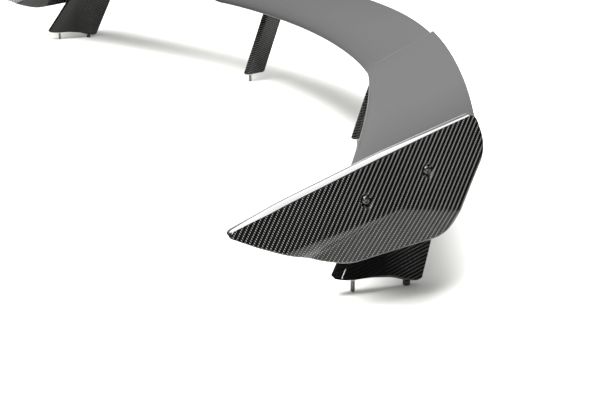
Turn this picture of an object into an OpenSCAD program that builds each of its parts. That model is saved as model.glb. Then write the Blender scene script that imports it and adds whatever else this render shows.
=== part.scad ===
// Racing rear wing: a bowed carbon wing on four struts, with an endplate bolted on each end.
// X runs along the span, +Y points to the front of the car, +Z is up.
// The origin is under the middle of the wing, level with the tips of the mounting studs.

/* [Wing plan] */
// Rearmost point of the trailing edge, behind the origin
tail_y = 262.5; // [250:0.5:280]
// Front-to-back depth of the wing at its middle
chord_mid = 118; // [105:1:130]
// Outward slope that both edges bend towards
bow_slope = 0.5; // [0.45:0.01:0.55]
// Softness of the leading edge's bow
nose_bow = 714; // [600:2:800]
// Softness of the trailing edge's bow
tail_bow = 480; // [430:2:560]
// Extra slope of the leading edge outside the crease
kink_slope = 0.17; // [0.12:0.01:0.2]
// Distance of the crease from the middle, at the leading edge
crease_x = 350; // [330:1:370]
// How far the crease runs inward by the trailing edge
crease_lean = 47; // [30:1:60]

/* [Wing heights] */
// Height of the leading edge at the middle
nose_z = 130; // [125:1:140]
// Height of the trailing edge at the middle
rear_z = 165; // [158:1:172]
// Fall of the leading edge per millimetre outside the crease
nose_fall = 0.0316; // [0.02:0.0001:0.035]
// Fall of the trailing edge towards the endplate
tip_fall = 12; // [8:0.5:14]
// Further droop of both edges at the endplate
end_drop = 4; // [2:0.5:5]
// Step up to the outer wing at the leading edge
step_nose = 2; // [1:0.5:3]
// Step up to the outer wing at the trailing edge
step_tail = 6; // [4:0.5:8]
// Width of the sloping band at the step
step_w = 16; // [12:1:24]

/* [Wing section] */
// Thickness over chord
thick_ratio = 0.12; // [0.1:0.005:0.13]
// Depth of the hollow side's camber over chord
camber_ratio = 0.03; // [0.02:0.005:0.035]
// Half thickness of the trailing edge
tail_half = 1.4; // [1.2:0.1:1.6]
// Thickness of the carbon skins
skin_t = 1.2; // [1:0.1:1.3]

/* [Endplates] */
// Half span over the front end of the endplates' crease
plate_x = 869; // [862:0.5:876]
// Height of the crease's front end
plate_z = 105; // [104:0.5:107]
// Distance of the crease's front end before the origin
plate_y = 78; // [74:0.5:80]
// Upward slope of the crease towards the front
crease_rise = 0.143; // [0.12:0.001:0.16]
// Outward slope of the endplate towards the front
toe_out = 0.055; // [0.04:0.001:0.07]
// Inward lean of the endplate above the crease
lean_up = 0.417; // [0.38:0.001:0.44]
// Inward lean of the endplate below the crease
lean_down = 0.054; // [0.04:0.001:0.07]
// Thickness of the endplate along X
plate_t = 8.7; // [8:0.1:10]
// Width of the endplate's bevelled rim along the front half of its top
rim_front = 5.2; // [4:0.1:5.6]
// Width of the endplate's bevelled rim at the rear and along the bottom
rim_rear = 1.8; // [1.6:0.1:4]
// Diameter of the spot faces under the screw heads
spot_d = 13; // [12:0.5:14]

/* [Outer struts] */
// Distance of the outer studs from the middle
outer_x = 802; // [798:0.5:806]
// Distance of the outer studs before the origin
outer_y = 102.5; // [100:0.5:105]
// Chord of the outer struts at the foot
outer_chord = 100; // [96:1:104]
// Thickness of the outer struts
outer_t = 17; // [15:1:19]
// Inward lean per millimetre of height
outer_lean = 0.28; // [0.24:0.01:0.32]
// Rearward lean of the nose per millimetre of height
outer_rake = 0.64; // [0.6:0.01:0.68]
// Rearward lean of the tail per millimetre of height
outer_tail_rake = 0.4; // [0.36:0.01:0.44]
// Distance between stud and locating peg
peg_gap = 60; // [58:1:62]

/* [Inner struts] */
// Distance of the inner studs from the middle
inner_x = 251; // [245:0.5:256]
// Distance of the inner studs behind the origin
inner_y = 129.5; // [126:0.5:132]
// Chord of the inner struts
inner_chord = 36; // [34:1:40]
// Thickness of the inner struts
inner_t = 13; // [12:0.5:15]
// Rearward lean per millimetre of height
inner_rake = 0.36; // [0.32:0.01:0.4]

/* [Fasteners] */
// Nominal diameter of the studs and screws
thread_d = 5; // [4.9:0.1:5.1]
// Diameter of the studs' bonded shanks
shank_d = 6; // [5.5:0.1:6.5]
// Diameter of the locating pegs
peg_d = 8; // [7:0.5:8]
// Diameter of the sealing washers
washer_d = 11; // [10:0.5:12]
// Thickness of the sealing washers
washer_t = 1.6; // [1.2:0.1:2]
// Diameter of the button heads
head_d = 9.5; // [9:0.1:10]

/* [Hidden] */

carbon = "#1d1e20";
foam = "#e8d9a8";
alloy = "#b9bcc0";
steel = "#8e9297";
brass = "#a8946a";
black = "#101010";
white = "#d8d8d2";

// ---- wing surfaces -------------------------------------------------------------------------
kink_soft = 40;
fall_soft = 60;
fall_from = 620;
fall_run = 240;
drop_from = 700;
drop_run = 150;

function ramp(q, soft) = (q + sqrt(q * q + soft * soft)) / 2;
function bow(x, soft) = bow_slope * (sqrt(x * x + soft * soft) - soft);
function smooth(s) = let (c = min(max(s, 0), 1)) c * c * (3 - 2 * c);
function mix(a, b, s) = a + (b - a) * s;

function nose_y(x) = chord_mid - tail_y + bow(x, nose_bow) + kink_slope * ramp(abs(x) - crease_x, kink_soft);
function rear_y(x) = -tail_y + bow(x, tail_bow);
function droop(x, depth, from, run) = depth * pow(max(0, (abs(x) - from) / run), 2);
function end_droop(x) = droop(x, end_drop, drop_from, drop_run);
function nose_height(x) = nose_z - nose_fall * ramp(abs(x) - crease_x, fall_soft) - end_droop(x);
function rear_height(x) = rear_z - droop(x, tip_fall, fall_from, fall_run) - end_droop(x);
function crease_at(t) = crease_x - crease_lean * t;
function step_at(x, t) = mix(step_nose, step_tail, t) * smooth((abs(x) - crease_at(t)) / step_w + 0.5);
function chord_at(x) = nose_y(x) - rear_y(x);
function half_thick(x, t) = chord_at(x) * 5 * thick_ratio
    * (0.2969 * sqrt(t) - 0.126 * t - 0.3516 * pow(t, 2) + 0.2843 * pow(t, 3) - 0.1036 * pow(t, 4))
    + tail_half * t;
function mid_height(x, t) = mix(nose_height(x), rear_height(x), t)
    - chord_at(x) * camber_ratio * 4 * t * (1 - t) + step_at(x, t);
// Height of a skin: side is 1 on the top and -1 underneath; the inset is measured inward.
function skin_height(x, t, side, inset) = mid_height(x, t) + side * max(0, half_thick(x, t) - inset);

// ---- endplate surface ----------------------------------------------------------------------
// Ahead of the crease a ramp joins the two planes, between lines that fall by these slopes.
ramp_low = 0.4;
ramp_high = 0.15;

function crease_z(y) = plate_z + crease_rise * (y - plate_y);
// 0 on the plane below the crease, 1 on the plane above it
function plate_rise(y, z) = let (
        q = y - plate_y,
        low = plate_z - ramp_low * q,
        high = plate_z - ramp_high * q)
    q <= 0 ? (z > crease_z(y) ? 1 : 0) : smooth((z - low) / max(high - low, 0.5));
// Distance of the endplate's outer face from the middle plane
function plate_face(y, z) = plate_x + toe_out * (y - plate_y)
    - mix(lean_down, lean_up, plate_rise(y, z)) * (z - crease_z(y));

// ---- lofts ---------------------------------------------------------------------------------
// Joins rings with the same number of points; the ends are closed, or the last joins the first.
// An end is closed by strips across it, from point j to point n - fold - j.
module loft(rings, closed = false, fold = 0) {
    n = len(rings[0]);
    m = len(rings);
    last = closed ? m : m - 1;
    walls = [for (i = [0:last - 1], j = [0:n - 1], k = [0, 1])
        let (a = i * n + j, b = i * n + (j + 1) % n, up = ((i + 1) % m) * n, c = up + (j + 1) % n, d = up + j)
        k == 0 ? [a, c, b] : [a, d, c]];
    strips = closed ? [] : [for (j = [0:ceil((n - fold) / 2) - 2], k = [0, 1]) let (across = n - fold - j)
        k == 0 ? [j, j + 1, across - 1] : [j, across - 1, across % n]];
    ends = [for (f = strips, k = [0, 1]) if (f[2] != f[0])
        k == 0 ? f : [f[2], f[1], f[0]] + (m - 1) * n * [1, 1, 1]];
    polyhedron([for (r = rings, p = r) p], concat(walls, ends));
}

// The same, with each end closed by a fan around a point of its own
module fan_loft(rings, first, last) {
    n = len(rings[0]);
    m = len(rings);
    walls = [for (i = [0:m - 2], j = [0:n - 1], k = [0, 1])
        let (a = i * n + j, b = i * n + (j + 1) % n)
        k == 0 ? [a, b, b + n] : [a, b + n, a + n]];
    fans = [for (j = [0:n - 1], k = [0, 1])
        let (b = (j + 1) % n)
        k == 0 ? [m * n, b, j] : [m * n + 1, (m - 1) * n + j, (m - 1) * n + b]];
    polyhedron([for (r = rings, p = r) p, first, last], concat(walls, fans));
}

// ---- wing ----------------------------------------------------------------------------------
chord_steps = 13;
skin_ts = [for (i = [0:chord_steps]) 1 - cos(90 * pow(i / chord_steps, 1.15))];

// A wing point: s runs from -1 at the left end through 0 to 1 at the right end.
// The creases lie at -mid_share and mid_share.
mid_share = 0.4;
end_guess = 852;
function end_x(t, side, inset, x, turns) = turns == 0 ? x :
    end_x(t, side, inset, plate_face(mix(nose_y(x), rear_y(x), t), skin_height(x, t, side, inset)) - plate_t,
          turns - 1);
function span_x(s, t, side, inset) = let (u = abs(s))
    sign(s) * (u < mid_share ? crease_at(t) * u / mid_share
        : mix(crease_at(t), end_x(t, side, inset, end_guess, 4), (u - mid_share) / (1 - mid_share)));
function wing_point(s, t, side, inset) = let (x = span_x(s, t, side, inset))
    [x, mix(nose_y(x), rear_y(x), t), skin_height(x, t, side, inset)];

band = 0.016;
half_stations = [for (i = [0:9]) i * (mid_share - band) / 9,
                 mid_share - band / 2, mid_share, mid_share + band / 2,
                 for (i = [0:14]) mix(mid_share + band, 1, i / 14)];
wing_stations = [for (i = [len(half_stations) - 1:-1:1]) -half_stations[i], for (s = half_stations) s];

function skin_ring(s, side) = [
    for (i = [0:chord_steps]) wing_point(s, skin_ts[i], side, 0),
    for (i = [chord_steps:-1:1]) wing_point(s, skin_ts[i], side, skin_t)];
module wing_skin(side) {
    stations = side > 0 ? wing_stations : [for (i = [len(wing_stations) - 1:-1:0]) wing_stations[i]];
    loft([for (s = stations) skin_ring(s, side)]);
}

core_first = 2;
core_last = chord_steps - 1;
core_gap = 0.05;
function core_ring(s) = [
    for (i = [core_first:core_last]) wing_point(s, skin_ts[i], 1, skin_t + core_gap),
    for (i = [core_last:-1:core_first]) wing_point(s, skin_ts[i], -1, skin_t + core_gap)];
module wing_inside(from, to) {
    inner = [for (s = wing_stations) if (s > from + 0.004 && s < to - 0.004) s];
    loft([for (s = concat([from], inner, [to])) core_ring(s)], fold = 1);
}

rib_share = 0.022;
module wing_core(from, to) {
    color(foam) difference() {
        wing_inside(from, to);
        for (side = [-1, 1]) {
            pocket(side * outer_root_x, outer_root_y, outer_pocket);
            pocket(side * inner_x, inner_root_y, inner_pocket);
        }
    }
}
module pocket(x, y, size) {
    translate([x, y, (nose_z + rear_z) / 2]) cube([size[0], size[1], 120], center = true);
}

module wing_upper_skin() { color(carbon) wing_skin(1); }
module wing_lower_skin() {
    color(carbon) difference() {
        wing_skin(-1);
        for (side = [-1, 1]) {
            tongue_slot(side, outer_root_x, outer_root_y, outer_tongue);
            tongue_slot(side, inner_x, inner_root_y, inner_tongue);
        }
    }
}
split = mid_share + 0.03;
module wing_core_left() { wing_core(-1 + rib_share, -split); }
module wing_core_centre() { wing_core(-split, split); }
module wing_core_right() { wing_core(split, 1 - rib_share); }

module end_rib() {
    color(alloy) difference() {
        wing_inside(-1, -1 + rib_share);
        at_screws() rotate([0, 90, 0]) cylinder(d = insert_d, h = 80, center = true, $fn = 48);
    }
}

// ---- struts --------------------------------------------------------------------------------
shell_t = 2;
foot_front_z = 17.2;
foot_rear_z = 4;
foot_arch = 3.4;
foot_corner = 2.5;
inner_foot_z = 13;
inner_foot_rise = 2;
foot_h = 22;
stud_front = 25;
inner_stud_front = 12;

// Half width of a strut section over its thickness, from nose to tail
function strut_half(t) = 0.5 * (t < 0.28 ? sqrt(max(0, 1 - pow(1 - t / 0.28, 2)))
    : mix(1, 0.42, smooth((t - 0.28) / 0.72)));
strut_ts = [for (i = [0:9]) 1 - cos(90 * pow(i / 10, 1.1)), 0.94, 0.985, 1];
strut_steps = len(strut_ts) - 1;

// The outer struts lean inward from over their studs.
lean_from = 14;
function lean_x(z) = outer_lean * (z - lean_from) - outer_x;
// Strut point at chord share t, side 1 or -1, height z and inset from the outside
function outer_nose(z) = outer_y + stud_front - outer_rake * (z - foot_front_z);
function outer_tail(z) = outer_y + stud_front - outer_chord - outer_tail_rake * (z - foot_rear_z);
function inner_nose(z) = -inner_y + inner_stud_front - inner_rake * (z - inner_foot_z);
function strut_point(outer, t, side, z, inset) = let (
        front = (outer ? outer_nose(z) : inner_nose(z)) - inset,
        back = (outer ? outer_tail(z) : inner_nose(z) - inner_chord) + inset,
        wide = outer ? outer_t : inner_t,
        x = outer ? lean_x(z) : -inner_x)
    [x - side * max(0.3, strut_half(t) * wide - inset), mix(front, back, t), z];
// The outer foot arches between its mounts; both feet turn up at the nose and the tail.
function arch(t) = smooth((t - 0.12) / 0.35) * (1 - smooth((t - 0.62) / 0.27));
function foot_z(outer, t) = foot_corner * pow(max(0, 1 - t / 0.06, (t - 0.94) / 0.06), 2)
    + (outer ? mix(foot_front_z, foot_rear_z, t) + foot_arch * arch(t) : inner_foot_z + inner_foot_rise * t);
// z of the wing's underside over a strut point, found by stepping towards it
function under_wing(outer, t, side, inset, z, turns) = turns == 0 ? z : let (
        p = strut_point(outer, t, side, z, inset),
        u = (nose_y(p[0]) - p[1]) / chord_at(p[0]))
    under_wing(outer, t, side, inset, skin_height(p[0], u, -1, 0), turns - 1);
function strut_edge(outer, inset, share, lift) = [
    for (i = [0:strut_steps]) strut_level(outer, strut_ts[i], 1, inset, share, lift),
    for (i = [strut_steps:-1:1]) strut_level(outer, strut_ts[i], -1, inset, share, lift)];
function strut_level(outer, t, side, inset, share, lift) = let (
        low = foot_z(outer, t),
        high = under_wing(outer, t, side, inset, nose_z, 8) - 0.05)
    strut_point(outer, t, side, mix(low, high, share) + lift, inset);

levels = 6;
module strut_shell(outer) {
    color(carbon) loft([
        for (i = [0:levels]) strut_edge(outer, 0, i / levels, 0),
        for (i = [levels:-1:0]) strut_edge(outer, shell_t, i / levels, 0)], closed = true);
}

// The aluminium spine: a foot that fills the shell, a blade up through it and a tongue in the wing
outer_tongue = [6, 46];
inner_tongue = [5, 18];
outer_pocket = [34, 70];
inner_pocket = [30, 36];
outer_root_x = -lean_x(122);
outer_root_y = (outer_nose(122) + outer_tail(120)) / 2;
inner_root_y = inner_nose(138) - inner_chord / 2;
tongue_in = 6;

module spine_blade(outer) {
    size = outer ? outer_tongue : inner_tongue;
    low = (outer ? 10 : inner_foot_z) + foot_h / 2;
    high = blade_top(outer);
    y_low = outer ? (outer_nose(low) + outer_tail(low)) / 2 : inner_nose(low) - inner_chord / 2;
    y_high = outer ? outer_root_y : inner_root_y;
    x_low = outer ? lean_x(low) : -inner_x;
    x_high = outer ? -outer_root_x : -inner_x;
    loft([for (e = [[x_low, y_low, low], [x_high, y_high, root_z(outer)], [x_high, y_high, high]])
        [for (c = [[-1, -1], [1, -1], [1, 1], [-1, 1]])
            [e[0] + c[0] * size[0] / 2, e[1] + c[1] * size[1] / 2, e[2]]]], fold = 1);
}
function root_z(outer) = outer ? 118 : 132;
function blade_top(outer) = let (x = outer ? outer_root_x : inner_x, y = outer ? outer_root_y : inner_root_y)
    skin_height(x, (nose_y(x) - y) / chord_at(x), -1, 0) + tongue_in;
module tongue_slot(side, x, y, size) {
    translate([side * x, y, (nose_z + rear_z) / 2 - 14])
        cube([size[0] + 0.4, size[1] + 0.4, 60], center = true);
}
module strut_spine(outer) {
    color(alloy) difference() {
        union() {
            loft([strut_edge(outer, shell_t + 0.05, 0, 0), strut_edge(outer, shell_t + 0.05, 0, foot_h)]);
            spine_blade(outer);
        }
        at_stud(outer) cylinder(d = shank_d, h = stud_top(outer), $fn = 48);
        if (outer) at_peg() cylinder(d = peg_stem_d, h = peg_top, $fn = 48);
    }
}

// Fasteners under the struts: a bonded shank, a free threaded end and a washer against the foot
chamfer = 0.6;
shank_in = 7;
washer_top = [inner_foot_z + 0.2, 14.9];
function foot_low(outer) = washer_top[outer ? 1 : 0];
function stud_top(outer) = foot_low(outer) + shank_in;
module at_stud(outer) {
    translate([outer ? -outer_x : -inner_x, outer ? outer_y : -inner_y, 0]) children();
}
module stud(outer) {
    free = foot_low(outer) - washer_t;
    color(steel) at_stud(outer) {
        cylinder(d1 = thread_d - 2 * chamfer, d2 = thread_d, h = chamfer, $fn = 48);
        translate([0, 0, chamfer]) cylinder(d = thread_d, h = free - chamfer, $fn = 48);
        translate([0, 0, free]) cylinder(d = shank_d, h = washer_t + shank_in, $fn = 48);
    }
}
module washer(outer) {
    color(white) at_stud(outer) translate([0, 0, foot_low(outer) - washer_t]) difference() {
        cylinder(d = outer ? washer_d : inner_t - 2, h = washer_t, $fn = 48);
        translate([0, 0, -1]) cylinder(d = shank_d, h = washer_t + 2, $fn = 48);
    }
}

peg_h = 5.2;
peg_stem_d = 2.4;
peg_top = 10.5;
peg_out = 1.8;
module at_peg() { translate([-outer_x - peg_out, outer_y - peg_gap, 0]) children(); }
module locating_peg() {
    color(black) at_peg() {
        cylinder(d1 = peg_d - 2 * chamfer, d2 = peg_d, h = chamfer, $fn = 48);
        translate([0, 0, chamfer]) cylinder(d = peg_d, h = peg_h - chamfer, $fn = 48);
        translate([0, 0, peg_h]) cylinder(d = peg_stem_d, h = peg_top - peg_h, $fn = 48);
    }
}

// ---- endplates -----------------------------------------------------------------------------
// Corners of the outline as [y, z, radius], from the tip down and around
nose_tip = [268, 106, 4];
chin = [235, 91, 180];
belly = [160, 62, 170];
lowest = [133, 57, 55];
heel = [28, 72, 36];
tail = [-30, 150, 36];
top_rear = [-22, 184, 9];
top_middle = [97, 156, 600];
top_front = [207, 126, 600];
plate_corners = [nose_tip, chin, belly, lowest, heel, tail, top_rear, top_middle, top_front];
arc_steps = 4;
function unit(v) = v / norm(v);
function turn_points(a, b, c, r) = let (
        u = unit(a - b), w = unit(c - b), half = acos(u * w) / 2,
        centre = b + unit(u + w) * r / sin(half), reach = r / tan(half),
        from = b + u * reach - centre, to = b + w * reach - centre)
    [for (i = [0:arc_steps]) centre + unit(mix(from, to, i / arc_steps)) * r];
function outline(corners) = let (n = len(corners)) [for (i = [0:n - 1], p = turn_points(
        flat(corners[(i + n - 1) % n]), flat(corners[i]), flat(corners[(i + 1) % n]), corners[i][2])) p];
function flat(c) = [c[0], c[1]];
plate_outline = outline(plate_corners);

// The plate's backbone, towards which its rings shrink
spine_a = [20, 128];
spine_b = [205, 107];
function backbone(p) = let (d = spine_b - spine_a, s = min(max((p - spine_a) * d / (d * d), 0), 1))
    spine_a + d * s;
function shrink(p, inset) = p + unit(backbone(p) - p) * inset;
function inward(p, share) = mix(p, backbone(p), share);

// Along the top the rim grows from the rear over this distance.
rim_run = 110;
function rim(p) = mix(rim_rear, rim_front,
    smooth(p[0] / rim_run) * smooth((p[1] - backbone(p)[1]) / 10 + 0.5));
// A ring of the plate; each size is [fixed part, part counted in rim widths].
function plate_ring(inset, share, depth) = [for (p = plate_outline)
    let (size = [1, rim(p)], q = inward(shrink(p, inset * size), share))
    [depth * size - plate_face(q[0], q[1]), q[0], q[1]]];
plate_mid = (spine_a + spine_b) / 2;
function plate_mid_at(depth) = [depth - plate_face(plate_mid[0], plate_mid[1]), plate_mid[0], plate_mid[1]];
shares = [0.9, 0.65, 0.4, 0.2, 0.06];
back_t = 2.6;
front_t = plate_t - back_t;
// The rim's bevel is flattened between its rounded edges.
rim_power = 1.5;
function round_ring(a) = plate_ring([0, 1 - pow(cos(a), rim_power)], 0, [0, 1 - pow(sin(a), rim_power)]);
// Flat rings from the middle outward, at one depth
function flat_rings(inset, depth) = [for (s = shares) plate_ring(inset, s, depth)];
function back_to_front(rings) = [for (i = [len(rings) - 1:-1:0]) rings[i]];

module endplate_skin() {
    color(carbon) difference() {
        fan_loft(concat(
            flat_rings([0, 1], [0, 0]),
            [for (a = [90, 62, 28, 0]) round_ring(a)],
            [plate_ring([0, 0], 0, [front_t, 0]),
             plate_ring([skin_t, 0], 0, [front_t, 0]),
             plate_ring([skin_t, 0.3], 0, [skin_t, 0.3]),
             plate_ring([0.6, 1], 0, [skin_t, 0])],
            back_to_front(flat_rings([0.6, 1], [skin_t, 0]))), plate_mid_at(0), plate_mid_at(skin_t));
        screw_holes();
    }
}
module endplate_inside() {
    top = [skin_t + core_gap, 0];
    bottom = [front_t - core_gap, 0];
    fan_loft(concat(
        flat_rings([0.8, 1], top),
        [plate_ring([0.8, 1], 0, top),
         plate_ring([skin_t + 0.2, 0.3], 0, [skin_t + 0.2, 0.3]),
         plate_ring([skin_t + 0.2, 0.3], 0, bottom)],
        back_to_front(flat_rings([0, 1], bottom))), plate_mid_at(top[0]), plate_mid_at(bottom[0]));
}
module bush_rods(d) {
    at_screws() rotate([0, 90, 0]) cylinder(d = d, h = 40, center = true, $fn = 48);
}
module endplate_core() {
    color(foam) difference() {
        endplate_inside();
        bush_rods(bush_d + 0.1);
    }
}
// Solid laminate bushes that take the clamping of the screws through the core
module bush_slab(y) {
    loft([for (depth = [skin_t + core_gap, front_t - core_gap]) [
        for (c = [[-1, -1], [1, -1], [1, 1], [-1, 1]])
            let (q = [y, screw_z(y)] + c * bush_d * 0.6) [depth - plate_face(q[0], q[1]), q[0], q[1]]]],
        fold = 1);
}
module endplate_bushes() {
    color(carbon) difference() {
        intersection() {
            for (y = screw_ys) bush_slab(y);
            bush_rods(bush_d);
        }
        screw_holes();
    }
}
module endplate_back() {
    color(carbon) difference() {
        fan_loft(concat(
            flat_rings([0, 1], [front_t, 0]),
            [plate_ring([0, 0], 0, [front_t, 0]),
             plate_ring([0, 0], 0, [plate_t - 0.8, 0]),
             plate_ring([0.8, 0], 0, [plate_t, 0])],
            back_to_front(flat_rings([0, 1], [plate_t, 0]))), plate_mid_at(front_t), plate_mid_at(plate_t));
        screw_holes();
    }
}

// Screw places as [y, z], on the middle of the wing's end section
screw_ys = [115, 42.5];
bush_d = 19;
insert_d = 9;
insert_l = 12;
screw_l = 20;
head_h = 2.8;
spot_depth = 3;
function screw_z(y) = let (t = (nose_y(end_guess) - y) / chord_at(end_guess)) mid_height(end_guess, t);
function seat_x(y) = -plate_face(y, screw_z(y)) + spot_depth;
module at_screws() {
    for (y = screw_ys) translate([seat_x(y), y, screw_z(y)]) children();
}
module screw_holes() {
    at_screws() rotate([0, -90, 0]) {
        cylinder(d = spot_d, h = 20, $fn = 48);
        translate([0, 0, -20]) cylinder(d = thread_d + 0.5, h = 30, $fn = 48);
    }
}
module endplate_screws() {
    color(steel) at_screws() rotate([0, -90, 0]) difference() {
        union() {
            translate([0, 0, -screw_l]) cylinder(d = thread_d, h = screw_l, $fn = 48);
            intersection() {
                cylinder(d = head_d, h = head_h, $fn = 48);
                translate([0, 0, head_h - 6.2]) sphere(r = 6.2, $fn = 48);
            }
        }
        translate([0, 0, head_h - 1.6]) cylinder(d = 3.46, h = 3, $fn = 6);
    }
}
module endplate_inserts() {
    color(brass) at_screws() rotate([0, 90, 0])
        translate([0, 0, plate_t - spot_depth + 0.1]) difference() {
            cylinder(d = insert_d - 0.1, h = insert_l, $fn = 48);
            translate([0, 0, -1]) cylinder(d = thread_d, h = insert_l + 2, $fn = 48);
        }
}

// ---- nodes ---------------------------------------------------------------------------------
module hardpoint(outer) {
    color(alloy) difference() {
        intersection() {
            if (outer) wing_inside(-0.96, -0.7);
            else wing_inside(-0.36, -0.2);
            pocket(-(outer ? outer_root_x : inner_x), outer ? outer_root_y : inner_root_y,
                   (outer ? outer_pocket : inner_pocket) - [0.2, 0.2]);
        }
        tongue_slot(-1, outer ? outer_root_x : inner_x, outer ? outer_root_y : inner_root_y,
                    outer ? outer_tongue : inner_tongue);
    }
}
module right() { mirror([1, 0, 0]) children(); }

wing_upper_skin();
wing_lower_skin();
wing_core_left();
wing_core_centre();
wing_core_right();
end_rib();  // left_end_rib
right() end_rib();  // right_end_rib
hardpoint(true);  // left_outer_hardpoint
hardpoint(false);  // left_inner_hardpoint
right() hardpoint(false);  // right_inner_hardpoint
right() hardpoint(true);  // right_outer_hardpoint
strut_shell(true);  // left_outer_strut
strut_shell(false);  // left_inner_strut
right() strut_shell(false);  // right_inner_strut
right() strut_shell(true);  // right_outer_strut
strut_spine(true);  // left_outer_spine
strut_spine(false);  // left_inner_spine
right() strut_spine(false);  // right_inner_spine
right() strut_spine(true);  // right_outer_spine
stud(true);  // left_outer_stud
stud(false);  // left_inner_stud
right() stud(false);  // right_inner_stud
right() stud(true);  // right_outer_stud
washer(true);  // left_outer_washer
washer(false);  // left_inner_washer
right() washer(false);  // right_inner_washer
right() washer(true);  // right_outer_washer
locating_peg();  // left_locating_peg
right() locating_peg();  // right_locating_peg
endplate_skin();  // left_endplate_skin
endplate_core();  // left_endplate_core
endplate_back();  // left_endplate_back
endplate_bushes();  // left_endplate_bushes
endplate_screws();  // left_endplate_screws
endplate_inserts();  // left_endplate_inserts
right() endplate_skin();  // right_endplate_skin
right() endplate_core();  // right_endplate_core
right() endplate_back();  // right_endplate_back
right() endplate_bushes();  // right_endplate_bushes
right() endplate_screws();  // right_endplate_screws
right() endplate_inserts();  // right_endplate_inserts
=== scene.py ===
"""Visual model of the racing rear wing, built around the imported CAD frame.

Lengths are metres. +X is the car's right, +Y the front of the car, +Z up; the left end is built and
the right end is its mirror image. The wing and endplate surfaces follow the same formulas as the CAD.
"""

import math

import bmesh
import bpy
import numpy as np
from mathutils import Matrix, Vector


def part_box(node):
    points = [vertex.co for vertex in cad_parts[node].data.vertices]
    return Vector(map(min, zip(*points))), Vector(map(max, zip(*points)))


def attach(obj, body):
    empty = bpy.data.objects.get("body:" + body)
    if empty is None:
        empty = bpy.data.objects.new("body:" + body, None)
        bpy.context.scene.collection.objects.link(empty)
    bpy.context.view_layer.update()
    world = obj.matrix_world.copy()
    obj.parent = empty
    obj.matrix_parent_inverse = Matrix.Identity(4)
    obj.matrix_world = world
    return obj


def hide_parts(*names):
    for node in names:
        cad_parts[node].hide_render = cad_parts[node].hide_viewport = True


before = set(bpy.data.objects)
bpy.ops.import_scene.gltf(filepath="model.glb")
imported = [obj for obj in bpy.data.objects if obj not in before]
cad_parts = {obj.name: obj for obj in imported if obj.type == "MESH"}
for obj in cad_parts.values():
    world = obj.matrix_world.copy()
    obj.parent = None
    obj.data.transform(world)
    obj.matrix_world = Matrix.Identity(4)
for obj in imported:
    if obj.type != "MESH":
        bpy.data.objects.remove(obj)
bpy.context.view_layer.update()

# ---- driving dimensions ------------------------------------------------------------------------
TAIL_Y = 0.2625
CHORD_MID = 0.118
BOW_SLOPE = 0.5
NOSE_BOW = 0.714
TAIL_BOW = 0.480
KINK_SLOPE = 0.17
KINK_SOFT = 0.040
CREASE_X = 0.350
CREASE_LEAN = 0.047

NOSE_Z = 0.130
REAR_Z = 0.165
NOSE_FALL = 0.0316
FALL_SOFT = 0.060
TIP_FALL = 0.012
FALL_FROM = 0.620
FALL_RUN = 0.240
END_DROP = 0.004
DROP_FROM = 0.700
DROP_RUN = 0.150
STEP_NOSE = 0.002
STEP_TAIL = 0.006
STEP_W = 0.016

THICK_RATIO = 0.12
CAMBER_RATIO = 0.03
TAIL_HALF = 0.0014
SKIN_T = 0.0012

PLATE_X = 0.869
PLATE_Z = 0.105
PLATE_Y = 0.078
CREASE_RISE = 0.143
TOE_OUT = 0.055
LEAN_UP = 0.417
LEAN_DOWN = 0.054
RAMP_LOW = 0.40
RAMP_HIGH = 0.15
PLATE_T = 0.0087
RIM_FRONT = 0.0046
RIM_REAR = 0.0018
RIM_RUN = 0.110
RIM_POWER = 1.5
BACK_T = 0.0026
FRONT_T = PLATE_T - BACK_T
# Corners of the endplate's outline as (y, z, radius), from the tip down and around
NOSE_TIP = (0.268, 0.106, 0.004)
CHIN = (0.235, 0.091, 0.180)
BELLY = (0.160, 0.062, 0.170)
LOWEST = (0.133, 0.057, 0.055)
HEEL = (0.028, 0.072, 0.036)
TAIL = (-0.030, 0.150, 0.036)
TOP_REAR = (-0.022, 0.184, 0.009)
TOP_MIDDLE = (0.097, 0.156, 0.600)
TOP_FRONT = (0.207, 0.126, 0.600)
PLATE_CORNERS = (NOSE_TIP, CHIN, BELLY, LOWEST, HEEL, TAIL, TOP_REAR, TOP_MIDDLE, TOP_FRONT)
SPINE_A = np.array([0.020, 0.128])
SPINE_B = np.array([0.205, 0.107])

OUTER_STRUT = {"chord": 0.100, "thick": 0.017, "lean": 0.28, "lean_from": 0.014, "rake": 0.64,
               "tail_rake": 0.40, "stud_front": 0.025, "foot_front": 0.0172, "foot_rear": 0.004,
               "tail_from": 0.004, "arch": 0.0034}
INNER_STRUT = {"chord": 0.036, "thick": 0.013, "lean": 0.0, "lean_from": 0.0, "rake": 0.36,
               "tail_rake": 0.36, "stud_front": 0.012, "foot_front": 0.013, "foot_rear": 0.015,
               "tail_from": 0.013, "arch": 0.0}
FOOT_CORNER = 0.0025
SHELL_T = 0.002


# ---- surfaces, as in the CAD -------------------------------------------------------------------
def ramp(q, soft):
    return (q + np.sqrt(q * q + soft * soft)) / 2


def bow(x, soft):
    return BOW_SLOPE * (np.sqrt(x * x + soft * soft) - soft)


def smooth(s):
    c = np.clip(s, 0, 1)
    return c * c * (3 - 2 * c)


def mix(a, b, s):
    return a + (b - a) * s


def droop(x, depth, start, run):
    return depth * np.maximum(0, (np.abs(x) - start) / run) ** 2


def nose_y(x):
    return CHORD_MID - TAIL_Y + bow(x, NOSE_BOW) + KINK_SLOPE * ramp(np.abs(x) - CREASE_X, KINK_SOFT)


def rear_y(x):
    return bow(x, TAIL_BOW) - TAIL_Y


def chord_at(x):
    return nose_y(x) - rear_y(x)


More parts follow.
